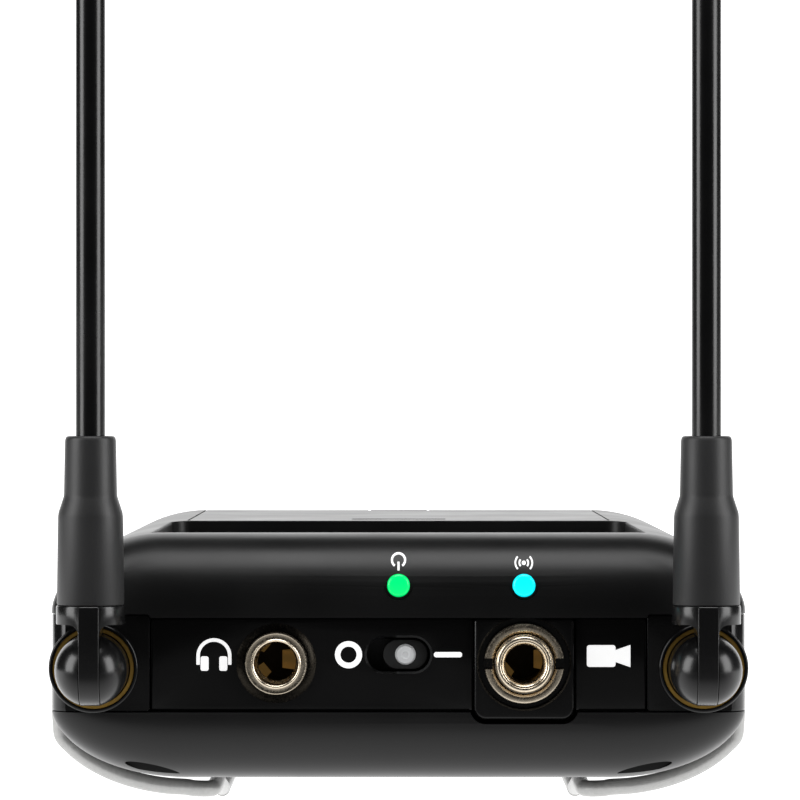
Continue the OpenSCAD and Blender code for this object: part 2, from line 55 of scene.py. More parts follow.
BACK_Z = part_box("rear_shell")[0][2] / MM
CASE_HALF = 32.75
CASE_L = 106.0
CASE_T = 23.2
WALL = 1.6
SPLIT_Z = 6.5
NEAR_OUT = 0.8
JACK_Z = 11.1
PHONE_X = -11.5
LOCK_X = 11.8
PLUG_R = 1.8
SLOT_Z = 11.9
LENS_Z = 18.4
SWIVEL_X = 28.6
SWIVEL_Z = 10.7
FOLD_Y = 5.4
BALL_R = 3.35
BLOCK_FACE = 0.3
RIM_T = 1.3
WHIP_R = 1.37
ANTENNA_L = 76.0
DECK_HALF = 23.6
DECK_NEAR = 7.0
DECK_FAR = 50.5
DECK_DROP = 1.9
DOOR_NEAR = 52.5
DOOR_HALF = 22.0
DOOR_T = 1.6
HINGE_Y = 100.0
HINGE_Z = CASE_T - DOOR_T
KEY_Y = 43.0
KEY_X = 7.0
KEY_R = 1.7
CLIP_Y = 14.5
PIVOT_Y = 13.6
PIVOT_Z = 12.0
WIRE_R = 0.8
BELT_GAP = 3.0
LANYARD_X = 23.2
LANYARD_Z = 1.0
LANYARD_TILT = 13
TONGUE_HALF = 1.0
INK_T = 0.03


# ---------------------------------------------------------------- mesh helpers
def new_object(name, mesh):
    obj = bpy.data.objects.new(name, mesh)
    bpy.context.scene.collection.objects.link(obj)
    return obj


def mesh_object(name, verts, faces):
    mesh = bpy.data.meshes.new(name)
    mesh.from_pydata([tuple(v) for v in verts], [], [tuple(f) for f in faces])
    mesh.validate()
    bm = bmesh.new()
    bm.from_mesh(mesh)
    bmesh.ops.remove_doubles(bm, verts=bm.verts, dist=1e-5)
    bmesh.ops.recalc_face_normals(bm, faces=bm.faces)
    bm.to_mesh(mesh)
    bm.free()
    return new_object(name, mesh)


def apply_modifiers(obj):
    graph = bpy.context.evaluated_depsgraph_get()
    mesh = bpy.data.meshes.new_from_object(obj.evaluated_get(graph))
    obj.modifiers.clear()
    obj.data = mesh
    return obj


def boolean(obj, cutters, operation="DIFFERENCE"):
    """Cuts (or joins) the cutters one after another and removes them."""
    for cutter in cutters:
        mod = obj.modifiers.new("cut", "BOOLEAN")
        mod.operation = operation
        mod.solver = "MANIFOLD"
        mod.object = cutter
        apply_modifiers(obj)
        bpy.data.objects.remove(cutter)
    return obj


def bevel(obj, width, segments=2, angle=32):
    mod = obj.modifiers.new("edge", "BEVEL")
    mod.width = width
    mod.segments = segments
    mod.limit_method = "ANGLE"
    mod.angle_limit = math.radians(angle)
    mod.use_clamp_overlap = True
    mod.harden_normals = False
    return apply_modifiers(obj)


def shade(obj, angle=30):
    """Smooth shading that keeps the edges sharper than angle."""
    bm = bmesh.new()
    bm.from_mesh(obj.data)
    for face in bm.faces:
        face.smooth = True
    limit = math.radians(angle)
    for edge in bm.edges:
        edge.smooth = len(edge.link_faces) == 2 and edge.calc_face_angle(4.0) < limit
    bm.to_mesh(obj.data)
    bm.free()
    return obj


def place(obj):
    """Takes a piece from case millimetres to the frame's metres."""
    obj.data.transform(Matrix.Scale(MM, 4) @ Matrix.Translation((0, PANEL_Y, BACK_Z)))
    return obj


def finish_piece(obj, body, material, replaces=(), smooth=30):
    shade(obj, smooth)
    place(obj)
    obj.data.materials.clear()
    obj.data.materials.append(material)
    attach(obj, body)
    if replaces:
        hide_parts(*replaces)
    return obj


def box(name, x, y, z):
    verts = [(a, b, c) for a in x for b in y for c in z]
    faces = [(0, 1, 3, 2), (4, 6, 7, 5), (0, 4, 5, 1), (2, 3, 7, 6), (0, 2, 6, 4), (1, 5, 7, 3)]
    return mesh_object(name, verts, faces)


def lathe(name, outline, axis="Z", at=(0, 0, 0), steps=72, closed=True):
    """Turns an outline of (radius, height) points round an axis. Heights run along +axis."""
    verts, faces = [], []
    count = len(outline)
    for i in range(steps):
        a = 2 * math.pi * i / steps
        for r, h in outline:
            p = (r * math.cos(a), r * math.sin(a), h)
            if axis == "Y":
                p = (p[0], h, p[1])
            if axis == "X":
                p = (h, p[0], p[1])
            verts.append(Vector(p) + Vector(at))
    last = count if closed else count - 1
    for i in range(steps):
        j = (i + 1) % steps
        for k in range(last):
            m = (k + 1) % count
            faces.append((i * count + k, j * count + k, j * count + m, i * count + m))
    return mesh_object(name, verts, faces)


def rod_along(name, radius, axis, at, low, high, steps=48):
    return lathe(name, [(0, low), (radius, low), (radius, high), (0, high)], axis, at, steps)


def loft(name, near, far):
    """A closed solid between two rings of points that match one by one."""
    n = len(near)
    faces = [tuple(range(n)), tuple(range(2 * n - 1, n - 1, -1))]
    faces += [(i, i + n, (i + 1) % n + n, (i + 1) % n) for i in range(n)]
    return mesh_object(name, near + far, faces)


def taper_y(name, near, far, y):
    """A solid from the near x, z outline at y[0] to the far one at y[1]."""
    return loft(name, [(p[0], y[0], p[1]) for p in near], [(p[0], y[1], p[1]) for p in far])


def prism_y(name, outline, y):
    """Extrudes an x, z outline along y."""
    return taper_y(name, outline, outline, y)


def arc(cx, cy, rx, ry, start, end, n):
    out = []
    for i in range(n + 1):
        a = math.radians(start + (end - start) * i / n)
        out.append((cx + rx * math.cos(a), cy + ry * math.sin(a)))
    return out


def rounded_rect(x0, x1, z0, z1, r, n=8):
    """Outline of a rectangle. r is one radius or four: low right, high right, high left, low left."""
    a, b, c, d = r if isinstance(r, (list, tuple)) else (r, r, r, r)
    return (arc(x1 - a, z0 + a, a, a, -90, 0, n) + arc(x1 - b, z1 - b, b, b, 0, 90, n)
            + arc(x0 + c, z1 - c, c, c, 90, 180, n) + arc(x0 + d, z0 + d, d, d, 180, 270, n))


# ---------------------------------------------------------------- materials
def principled(name, color, roughness, metallic=0.0, specular=0.5):
    mat = bpy.data.materials.new(name)
    mat.use_nodes = True
    nodes = mat.node_tree.nodes
    shader = nodes["Principled BSDF"]
    shader.inputs["Base Color"].default_value = (*color, 1)
    shader.inputs["Roughness"].default_value = roughness
    shader.inputs["Metallic"].default_value = metallic
    shader.inputs["Specular IOR Level"].default_value = specular
    return mat, nodes, mat.node_tree.links, shader


def noise(nodes, links, scale, detail=3.0, coords="Object"):
    tex = nodes.new("ShaderNodeTexNoise")
    tex.inputs["Scale"].default_value = scale
    tex.inputs["Detail"].default_value = detail
    place_node = nodes.new("ShaderNodeTexCoord")
    links.new(place_node.outputs[coords], tex.inputs["Vector"])
    return tex


def ramp(nodes, links, source, low, high):
    """Maps a 0 to 1 value to a range of numbers."""
    node = nodes.new("ShaderNodeMapRange")
    node.inputs["From Min"].default_value = 0.3
    node.inputs["From Max"].default_value = 0.7
    node.inputs["To Min"].default_value = low
    node.inputs["To Max"].default_value = high
    links.new(source, node.inputs["Value"])
    return node.outputs["Result"]


def tint(nodes, links, source, low, high, shader):
    """Mixes two colours by a value and feeds the base colour."""
    mix = nodes.new("ShaderNodeMix")
    mix.data_type = "RGBA"
    mix.inputs["A"].default_value = (*low, 1)
    mix.inputs["B"].default_value = (*high, 1)
    links.new(source, mix.inputs["Factor"])
    links.new(mix.outputs["Result"], shader.inputs["Base Color"])


def bump(nodes, links, source, shader, strength, distance):
    node = nodes.new("ShaderNodeBump")
    node.inputs["Strength"].default_value = strength
    node.inputs["Distance"].default_value = distance
    links.new(source, node.inputs["Height"])
    links.new(node.outputs["Normal"], shader.inputs["Normal"])


def moulded(name, color, rough, grain=9000, grain_depth=0.000012, strength=0.35, specular=0.5):
    """Moulded plastic: slow changes of tone and gloss, and a fine grain."""
    mat, nodes, links, shader = principled(name, color, sum(rough) / 2, specular=specular)
    slow = noise(nodes, links, 90, 4)
    fine = noise(nodes, links, grain, 2)
    light = tuple(min(1, c * 1.35 + 0.002) for c in color)
    tint(nodes, links, slow.outputs["Fac"], color, light, shader)
    links.new(ramp(nodes, links, slow.outputs["Fac"], *rough), shader.inputs["Roughness"])
    bump(nodes, links, fine.outputs["Fac"], shader, strength, grain_depth)
    return mat


def metal(name, color, dark, rough, grain=1500, depth=0.000006):
    """Plated or drawn metal: tone and gloss vary a little, with fine marks."""
    mat, nodes, links, shader = principled(name, color, sum(rough) / 2, metallic=1.0)
    slow = noise(nodes, links, 700, 4)
    fine = noise(nodes, links, grain * 3, 3)
    tint(nodes, links, slow.outputs["Fac"], dark, color, shader)
    links.new(ramp(nodes, links, fine.outputs["Fac"], *rough), shader.inputs["Roughness"])
    bump(nodes, links, fine.outputs["Fac"], shader, 0.25, depth)
    return mat


def satin_wire():
    """Satin plated wire, pale, with fine marks."""
    mat, nodes, links, shader = principled("clip_wire", (0.5, 0.5, 0.49), 0.34, metallic=0.45)
    marks = noise(nodes, links, 2500, 3)
    tint(nodes, links, marks.outputs["Fac"], (0.34, 0.34, 0.335), (0.46, 0.46, 0.45), shader)
    links.new(ramp(nodes, links, marks.outputs["Fac"], 0.28, 0.4), shader.inputs["Roughness"])
    bump(nodes, links, marks.outputs["Fac"], shader, 0.2, 0.000006)
    return mat


def glowing(name, color, strength):
    """Lit, frosted lamp lens with faint spots."""
    mat, nodes, links, shader = principled(name, color, 0.25)
    spots = noise(nodes, links, 2500, 2)
    tint(nodes, links, spots.outputs["Fac"], tuple(c * 0.8 for c in color), color, shader)
    shader.inputs["Emission Color"].default_value = (*color, 1)
    shader.inputs["Emission Strength"].default_value = strength
    return mat


def ink(name, color):
    """Printed ink, a little uneven, with a painted glow that makes the print read whiter than its lighting
    gives.
    """
    mat, nodes, links, shader = principled(name, color, 0.5)
    # Painted light: the emission makes the printed ink glow, though it is no lamp.
    shader.inputs["Emission Color"].default_value = (*color, 1)
    shader.inputs["Emission Strength"].default_value = 0.75
    grain = noise(nodes, links, 4000, 3)
    tint(nodes, links, grain.outputs["Fac"], tuple(c * 0.9 for c in color), color, shader)
    links.new(ramp(nodes, links, grain.outputs["Fac"], 0.42, 0.6), shader.inputs["Roughness"])
    return mat


M = {
    "case_black": moulded("case_black", (0.0035, 0.0035, 0.0036), (0.3, 0.37), strength=0.15, specular=0.36),
    "panel_black": moulded("panel_black", (0.0025, 0.0025, 0.0026), (0.14, 0.2), grain=5000, strength=0.08,
                           specular=0.36),
    "door_grey": moulded("door_grey", (0.012, 0.012, 0.0125), (0.3, 0.38)),
    "turret_black": moulded("turret_black", (0.004, 0.004, 0.0042), (0.2, 0.27), grain=3000, strength=0.08),
    "whip_black": moulded("whip_black", (0.003, 0.003, 0.0032), (0.2, 0.28), grain=3500, strength=0.12),
    "boot_rubber": moulded("boot_rubber", (0.02, 0.02, 0.0205), (0.4, 0.5), grain=6000,
                           grain_depth=0.00002, strength=0.5),
    "inner_plastic": moulded("inner_plastic", (0.03, 0.03, 0.033), (0.45, 0.6)),
    "slider_grey": moulded("slider_grey", (0.62, 0.63, 0.64), (0.3, 0.4), grain=4000, strength=0.2),
    "slider_dark": moulded("slider_dark", (0.003, 0.003, 0.0032), (0.6, 0.7), grain=4000, strength=0.2),
    "nickel": metal("nickel", (0.96, 0.86, 0.7), (0.7, 0.59, 0.44), (0.18, 0.34)),
    "brass": metal("brass", (0.62, 0.39, 0.1), (0.42, 0.25, 0.05), (0.34, 0.48)),
    "steel": metal("steel", (0.7, 0.7, 0.71), (0.52, 0.52, 0.53), (0.22, 0.36)),
    "steel_dark": metal("steel_dark", (0.2, 0.2, 0.21), (0.12, 0.12, 0.12), (0.3, 0.42)),
    "clip_wire": satin_wire(),
    "lens_green": glowing("lens_green", (0.0, 0.72, 0.16), 0.95),
    "lens_blue": glowing("lens_blue", (0.002, 0.8, 0.95), 0.95),
    "led_resin": moulded("led_resin", (0.7, 0.7, 0.64), (0.1, 0.2)),
    "board_green": moulded("board_green", (0.01, 0.12, 0.045), (0.25, 0.35), grain=2500),
    "display_grey": moulded("display_grey", (0.33, 0.37, 0.33), (0.3, 0.4), grain=4000, strength=0.1),
    "cell_jacket": moulded("cell_jacket", (0.5, 0.3, 0.06), (0.2, 0.32), grain=3000, strength=0.1),
    # The white print carries a painted glow from its emission.
    "ink_white": ink("ink_white", (0.82, 0.82, 0.82)),
}


def window_material():
    mat, nodes, links, shader = principled("window_dark", (0.012, 0.013, 0.014), 0.06)
    dust = noise(nodes, links, 1200, 4)
    links.new(ramp(nodes, links, dust.outputs["Fac"], 0.04, 0.09), shader.inputs["Roughness"])
    shader.inputs["Alpha"].default_value = 0.72
    return mat


def lit_leaf():
    """Contact metal with a very weak glow, so that it shows in the dark bore."""
    mat = metal("leaf_gold", (0.62, 0.4, 0.14), (0.4, 0.24, 0.07), (0.3, 0.45))
    shader = mat.node_tree.nodes["Principled BSDF"]
    shader.inputs["Emission Color"].default_value = (0.6, 0.34, 0.09, 1)
    shader.inputs["Emission Strength"].default_value = 0.1
    return mat


M["window_dark"] = window_material()
M["leaf_gold"] = lit_leaf()

for entry in frame["record"]["subparts"]:
    node = frame["nodes"][entry["node"]]
    node.data.materials.clear()
    node.data.materials.append(M[entry["material_slot"]])


# ---------------------------------------------------------------- case
LOW_RX, LOW_RZ, TOP_RX, TOP_RZ = 12.6, 6.9, 10.6, 7.3
SHOULDER_IN, SHOULDER_Z = 6.0, 15.4
FOOT_R, TAIL_R, PLAN_NEAR_R, PLAN_FAR_R = 6.0, 5.0, 3.0, 8.0


def drawn_in(distance, reach):
    """How far a quarter ellipse of unit height falls short at a distance from its tangent end."""
    t = min(1.0, max(0.0, distance / reach))
    return 1 - math.sqrt(max(0.0, 1 - t * t))


def ring_at(y, inset, steps=20):
    """The case's outline in x, z at a station, drawn in by inset."""
    near = NEAR_OUT - inset
    half = CASE_HALF - inset
    half -= (PLAN_NEAR_R - inset) * drawn_in(PLAN_NEAR_R - NEAR_OUT - y, PLAN_NEAR_R - inset)
    half -= (PLAN_FAR_R - inset) * drawn_in(y - (CASE_L - PLAN_FAR_R), PLAN_FAR_R - inset)
    low = inset + (FOOT_R - inset) * drawn_in(FOOT_R - NEAR_OUT - y, FOOT_R - inset)
    low += (TAIL_R - inset) * drawn_in(y - (CASE_L - TAIL_R), TAIL_R - inset)
    rise = CASE_T - SHOULDER_Z - inset
    high = CASE_T - inset - rise * drawn_in(SHOULDER_IN - y, SHOULDER_IN + near)
    high -= (TAIL_R - inset) * drawn_in(y - (CASE_L - TAIL_R), TAIL_R - inset)
    low_x = half - (CASE_HALF - LOW_RX)
    top_x = half - (CASE_HALF - TOP_RX)
    right = arc(CASE_HALF - LOW_RX, LOW_RZ, low_x, LOW_RZ - low, -90, 0, steps)
    right += arc(CASE_HALF - TOP_RX, CASE_T - TOP_RZ, top_x, high - (CASE_T - TOP_RZ), 0, 90, steps)
    return right + [(-x, z) for x, z in reversed(right)]


def case_form(name, inset):
    near = -NEAR_OUT + inset
    far = CASE_L - inset
    stations = [near + (SHOULDER_IN - near) * (1 - math.cos(math.radians(a))) for a in range(0, 91, 5)]
    stations += [SHOULDER_IN + (CASE_L - PLAN_FAR_R - SHOULDER_IN) * i / 12 for i in range(1, 13)]
    start = CASE_L - PLAN_FAR_R
    stations += [start + (far - start) * math.sin(math.radians(a)) for a in range(5, 91, 5)]
    verts, faces = [], []
    for y in stations:
        ring = ring_at(y, inset)
        verts += [(x, y, z) for x, z in ring]
    n = len(ring)
    for s in range(len(stations) - 1):
        faces += [(s * n + k, s * n + (k + 1) % n, (s + 1) * n + (k + 1) % n, (s + 1) * n + k)
                  for k in range(n)]
    faces += [tuple(range(n - 1, -1, -1)), tuple(range((len(stations) - 1) * n, len(stations) * n))]
    return mesh_object(name, verts, faces)


def clip_pockets(part):
    for s in (-1, 1):
        sides = sorted((s * (CASE_HALF - 1.0), s * (CASE_HALF + 2)))
        boolean(part, [
            prism_yz("pocket", rounded_rect(PIVOT_Y - 2.6, PIVOT_Y + 3, -3, PIVOT_Z + 1.6, 0.9), sides),
        ])


def prism_yz(name, outline, x):
    """Extrudes a y, z outline along x."""
    return loft(name, [(x[0], p[0], p[1]) for p in outline], [(x[1], p[0], p[1]) for p in outline])


def prism_z(name, outline, z):
    """Extrudes an x, y outline along z."""
    return loft(name, [(p[0], p[1], z[0]) for p in outline], [(p[0], p[1], z[1]) for p in outline])


def half_case(name, z_from, z_to):
    part = case_form(name, 0)
    boolean(part, [box("keep", (-40, 40), (-3, CASE_L + 3), (z_from, z_to))], "INTERSECT")
    return boolean(part, [case_form("hollow", WALL)])


def rear_case():
    part = half_case("rear_case", -1, SPLIT_Z)
    plate_room = rounded_rect(LOCK_X - 5.1, LOCK_X + 5.1, 5.4, 8, (1.5, 0.1, 0.1, 1.5))
    cuts = [prism_y("plate_room", plate_room, (-3, 1.7))]
    for s in (-1, 1):
        groove = prism_y("groove", arc(0, 0, 2.7, 0.45, 0, 360, 40)[:-1], (-3, 2.8))
        tilt = Matrix.Rotation(-s * math.radians(LANYARD_TILT), 4, "Y")
        groove.data.transform(Matrix.Translation((s * LANYARD_X, 0, LANYARD_Z)) @ tilt)
        cuts.append(groove)
    boolean(part, cuts)
    for s in (-1, 1):
        backing = box("backing", sorted((s * (CASE_HALF - 2.9), s * (CASE_HALF + 2))),
                      (PIVOT_Y - 3.9, PIVOT_Y + 4.5), (2, SPLIT_Z))
        boolean(backing, [case_form("within", 0.02)], "INTERSECT")
        boolean(part, [backing], "UNION")
    clip_pockets(part)
    for x in (-25.5, 25.5):
        for y in (26, 93):
            boolean(part, [rod_along("boss", 2.4, "Z", (x, y, 0), 1.5, 5.0)], "UNION")
            boolean(part, [rod_along("head_room", 2.05, "Z", (x, y, 0), -1, 1.2),
                           rod_along("shank_room", 1.1, "Z", (x, y, 0), 1.1, 6)])
    return finish_piece(part, "case", M["case_black"], ["rear_shell"])


def front_case():
    part = half_case("front_case", SPLIT_Z + 0.08, CASE_T + 1)
    window = box("window", (-23.45, 23.45), (-3, 1.58), (5, 15.38))
    cuts = [window]
    for s in (-1, 1):
        cuts.append(prism_y("block_room", rounded_rect(*sorted((s * 23.32, s * 36)), 5, 15.72, 0.35),
                            (-3, 8.1)))
    for x in (0, LOCK_X):
        cuts.append(rod_along("lens_hole", 1.09, "Y", (x, 0, LENS_Z), -3, 4))
        cuts.append(rod_along("lens_dish", 1.38, "Y", (x, 0, LENS_Z), -3, -0.28))
    deck = prism_z("deck_room", rounded_rect(-DECK_HALF, DECK_HALF, DECK_NEAR, DECK_FAR, 2.2),
                   (CASE_T - DECK_DROP, CASE_T + 2))
    for k, grow in enumerate((0.3, 0.18, 0.09, 0.03)):
        half = DECK_HALF + grow
        edge = rounded_rect(-half, half, DECK_NEAR - grow, DECK_FAR + grow, 2.2 + grow)
        cuts.append(prism_z("deck_lip", edge, (CASE_T - 0.04 - 0.07 * k, CASE_T + 2)))
    inside = box("deck_open", (-DECK_HALF + 1.5, DECK_HALF - 1.5), (DECK_NEAR + 1.5, DECK_FAR - 1.5),
                 (CASE_T - 6, CASE_T + 1))
    bay = box("bay_open", (-DOOR_HALF - 0.2, DOOR_HALF + 0.2), (DOOR_NEAR - 0.2, HINGE_Y - 2),
              (CASE_T - 6, CASE_T + 1))
    cuts += [deck, inside, bay]
    for s in (-1, 1):
        cuts.append(box("knuckle_room", sorted((s * 3.2, s * (DOOR_HALF + 0.2))),
                        (HINGE_Y - 2.5, HINGE_Y + 2.1), (HINGE_Z - 2.1, CASE_T + 1)))
    ledge = box("ledge", (-DECK_HALF - 1.4, DECK_HALF + 1.4), (DECK_NEAR - 1.4, DECK_FAR + 1.4),
                (CASE_T - DECK_DROP - 2.2, CASE_T - 1.0))
    boolean(part, [ledge], "UNION")
    boolean(part, cuts)
    for s in (-1, 1):
        backing = box("backing", sorted((s * (CASE_HALF - 2.9), s * (CASE_HALF - 0.5))),
                      (PIVOT_Y - 3.9, PIVOT_Y + 4.5), (SPLIT_Z + 0.08, 15))
        lug = box("lug", sorted((s * (DOOR_HALF + 0.4), s * (DOOR_HALF + 2.4))),
                  (HINGE_Y - 2.4, CASE_L - 2), (HINGE_Z - 3, CASE_T - 1.0))
        boolean(part, [backing, lug], "UNION")
    middle_lug = box("lug", (-3, 3), (HINGE_Y - 1.5, CASE_L - 2), (HINGE_Z - 1.5, HINGE_Z + 1.4))
    boolean(part, [middle_lug], "UNION")
    clip_pockets(part)
    return finish_piece(part, "case", M["case_black"], ["front_shell"])


def slot_outline(r):
    outline = arc(1.4, 0, r, r, -90, 90, 20) + arc(-1.4, 0, r, r, 90, 270, 20)
    return [(x, z + SLOT_Z) for x, z in outline]


def connector_panel():
    part = box("connector_panel", (-23.3, 23.3), (0, 1.5), (6.6, 15.3))
    boolean(part, [box("camera_room", (LOCK_X - 4.78, LOCK_X + 4.78), (-1, 3), (5, 17))])
    bevel(part, 0.22, 3)
    dish = lathe("dish", [(0, -1), (4.75, -1), (3.55, 0.2), (2.95, 0.62), (2.95, 3), (0, 3)], "Y",
                 (PHONE_X, 0, JACK_Z), 96)
    lip = taper_y("lip", slot_outline(2.8), slot_outline(1.6), (-1, 0.2))
    boolean(part, [dish, prism_y("slot", slot_outline(1.6), (-1, 3)), lip])
    return finish_piece(part, "case", M["panel_black"], ["end_panel"])


def camera_plate():
    r = 1.1
    outline = rounded_rect(LOCK_X - 4.7, LOCK_X + 4.7, 5.8, 15.3, (r, 0.3, 0.3, r))
    part = prism_y("camera_plate", outline, (-0.5, 1.5))
    bevel(part, 0.32, 4)
    dish = lathe("dish", [(0, -2), (4.6, -2), (4.45, -0.45), (4.3, -0.3), (4.3, 0.9), (3.8, 0.9), (3.8, 0.02),
                          (2.77, 0.02), (2.77, 3), (0, 3)],
                 "Y", (LOCK_X, 0, JACK_Z), 96)
    boolean(part, [dish])
    return finish_piece(part, "case", M["panel_black"], ["camera_panel"])


def antenna_block(side, word):
    part = case_form("antenna_block_" + word, 0.05)
    room = prism_y("keep", rounded_rect(*sorted((side * 23.4, side * 34)), 6.6, 15.6, 0.3), (-BLOCK_FACE, 8))
    boolean(part, [room], "INTERSECT")
    bevel(part, 0.18, 3, 40)
    bore = rod_along("bore", 2.25, "Y", (side * SWIVEL_X, 0, SWIVEL_Z), -2, 9, 72)
    boolean(part, [bore])
    return finish_piece(part, "case", M["panel_black"], ["antenna_block_" + word])


def control_deck():
    z = CASE_T - DECK_DROP
    gap = 0.1
    outline = rounded_rect(-DECK_HALF + gap, DECK_HALF - gap, DECK_NEAR + gap, DECK_FAR - gap, 2.1)
    part = prism_z("control_deck", outline, (z, z + 0.5))
    bevel(part, 0.12, 2)
    cuts = [box("window_room", (-17.1, 17.1), (11.9, 34.1), (z - 1, z + 1))]
    for s in (-1, 1):
        cuts.append(rod_along("key_room", KEY_R + 0.15, "Z", (s * KEY_X, KEY_Y, 0), z - 1, z + 2, 64))
    boolean(part, cuts)
    return finish_piece(part, "case", M["panel_black"], ["control_panel"])


def display_glass():
    z = CASE_T - DECK_DROP
    part = prism_z("display_glass", rounded_rect(-17, 17, 12, 34, 0.4), (z - 1, z + 0.45))
    bevel(part, 0.15, 2)
    return finish_piece(part, "case", M["window_dark"], ["display_window"])


def door():
    part = case_form("door_skin", 0)
    outline = rounded_rect(-DOOR_HALF, DOOR_HALF, DOOR_NEAR, HINGE_Y + 4, 1.2)
    keep = prism_z("keep", outline, (HINGE_Z, CASE_T + 1))
    boolean(part, [keep], "INTERSECT")
    boolean(part, [box("end", (-40, 40), (HINGE_Y, HINGE_Y + 9), (0, 40))])
    for s in (-1, 1):
        ends = sorted((s * 3.5, s * (DOOR_HALF - 0.2)))
        barrel = rod_along("barrel", DOOR_T - 0.03, "X", (0, HINGE_Y, HINGE_Z), *ends)
        boolean(part, [barrel], "UNION")
    boolean(part, [box("gap", (-3.5, 3.5), (HINGE_Y - 2.6, HINGE_Y + 2), (HINGE_Z - 2, CASE_T + 1)),
                   rod_along("pin_room", 0.55, "X", (0, HINGE_Y, HINGE_Z), -DOOR_HALF - 1, DOOR_HALF + 1)])
    for i in range(5):
        y = DOOR_NEAR + 3.25 + i * 1.2
        rib = prism_z("rib", rounded_rect(-5, 5, y - 0.25, y + 0.25, 0.24, 4), (CASE_T - 0.4, CASE_T + 1))
        boolean(part, [rib])
    return finish_piece(part, "door", M["door_grey"], ["battery_door"])


def key(word, x):
    r = KEY_R
    top = CASE_T - DECK_DROP + 0.8
    outline = [(0, 19.65), (r, 19.65), (r, 20), (r + 0.6, 20), (r + 0.6, 20.8), (r, 20.8), (r, top - 0.25),
               (r - 0.07, top - 0.08), (r - 0.25, top), (r * 0.6, top - 0.06), (0, top - 0.12)]
    part = lathe(word + "_key_cap", outline, "Z", (x, KEY_Y, 0), 64)
    return finish_piece(part, word + "_key", M["panel_black"], [word + "_button"], 40)


# ---------------------------------------------------------------- connectors
def headphone_socket():
    outline = [(PLUG_R, 3), (PLUG_R, 2.6), (2.06, 2.3), (2.08, -0.9), (2.14, -0.97), (2.24, -1.0)]
    outline += [(2.3, -0.94), (2.36, -0.91), (2.76, -0.91), (2.82, -0.94), (2.88, -0.92), (2.92, -0.82)]
    outline += [(2.93, -0.6), (2.93, 3)]
    part = lathe("headphone_socket", outline, "Y", (PHONE_X, 0, JACK_Z), 96)
    return finish_piece(part, "case", M["nickel"], ["headphone_bush"], 40)


def thread_outline(r_in, r_out, start, end, pitch):
    """Outline points of ring grooves that stand for a fine thread."""
    points = []
    y = start
    while y < end:
        points += [(r_out, y), (r_in, y + pitch / 2)]
        y += pitch
    return points


def camera_socket():
    outline = [(PLUG_R, 3), (PLUG_R, -1.55), (2.06, -1.95), (2.12, -1.98), (2.14, -1.9), (2.14, -1.4)]
    outline += [(2.2, -1.4), (2.2, -2.08), (2.26, -2.17), (2.36, -2.2), (2.46, -2.19), (2.56, -2.12)]
    outline += [(2.62, -2.0)]
    outline += thread_outline(2.6, 2.74, -2.0, 0.0, 0.4) + [(2.74, 3)]
    part = lathe("camera_socket", outline, "Y", (LOCK_X, 0, JACK_Z), 96)
    return finish_piece(part, "case", M["nickel"], ["camera_bush"], 40)


def slotted_nut():
    outline = [(2.77, 0), (2.77, -0.45), (3.0, -1.16), (3.06, -1.25), (3.14, -1.28), (3.56, -1.3)]
    outline += [(3.68, -1.25), (3.74, -1.14), (3.75, -1.0), (3.75, 0)]
    part = lathe("slotted_nut", outline, "Y", (LOCK_X, 0, JACK_Z), 96)
    for s in (-1, 1):
        cut = box("spanner_slot", sorted((s * 2.95, s * 5)), (-2.5, 0.5), (-0.52, 0.52))
        cut.data.transform(Matrix.Translation((LOCK_X, 0, JACK_Z)))
        boolean(part, [cut])
    return finish_piece(part, "case", M["nickel"], ["ring_nut"], 35)


def slider():
    x = 0.65
    outline = [(0, -0.34), (0.3, -0.36), (0.38, -0.42), (0.66, -0.42), (0.78, -0.36), (0.84, -0.22)]
    outline += [(0.85, 0.2), (1.0, 0.62), (0, 0.62)]
    post = lathe("slider_post", outline, "Y", (x, 0, SLOT_Z), 64)
    plate = arc(0.7, 0, 1.4, 1.4, -90, 90, 16) + arc(-0.7, 0, 1.4, 1.4, 90, 270, 16)
    base = prism_y("slider_base", plate, (0.55, 1.6))
    base.data.transform(Matrix.Translation((x, 0, SLOT_Z)))
    bevel(base, 0.12, 2)
    foot = box("slider_foot", (x - 2, x + 2), (1.58, 3.1), (SLOT_Z - 1.4, SLOT_Z + 1.4))
    finish_piece(foot, "slider", M["slider_dark"])
    finish_piece(base, "slider", M["slider_dark"])
    finish_piece(post, "slider", M["slider_grey"], ["power_slider"])


def lamp(name, x, material, node):
    outline = [(0, 3.4), (1.05, 3.4), (1.05, -0.3), (1.0, -0.42), (0.8, -0.5), (0.45, -0.54), (0, -0.55)]
    part = lathe(name, outline, "Y", (x, 0, LENS_Z), 64)
    return finish_piece(part, "case", M[material], [node], 50)


# ---------------------------------------------------------------- antennas
def socket(side, word):
    x = side * SWIVEL_X
    face = -BLOCK_FACE - RIM_T
    outline = [(3.86, -BLOCK_FACE), (3.86, face + 0.06), (3.92, face), (4.05, face), (4.12, face + 0.04)]
    outline += [(4.18, face + 0.12), (4.2, face + 0.24), (4.2, -BLOCK_FACE)]
    rim = lathe("rim_" + word, outline, "Y", (x, 0, SWIVEL_Z), 96)
    finish_piece(rim, "case", M["panel_black"], ["socket_rim_" + word], 40)
    outline = [(3.42, -BLOCK_FACE), (3.42, face + 0.16), (3.48, face + 0.1), (3.78, face + 0.1)]
    outline += [(3.84, face + 0.16), (3.84, -BLOCK_FACE)]
    ring = lathe("brass_" + word, outline, "Y", (x, 0, SWIVEL_Z), 96)
    finish_piece(ring, "case", M["brass"], ["friction_ring_" + word], 40)


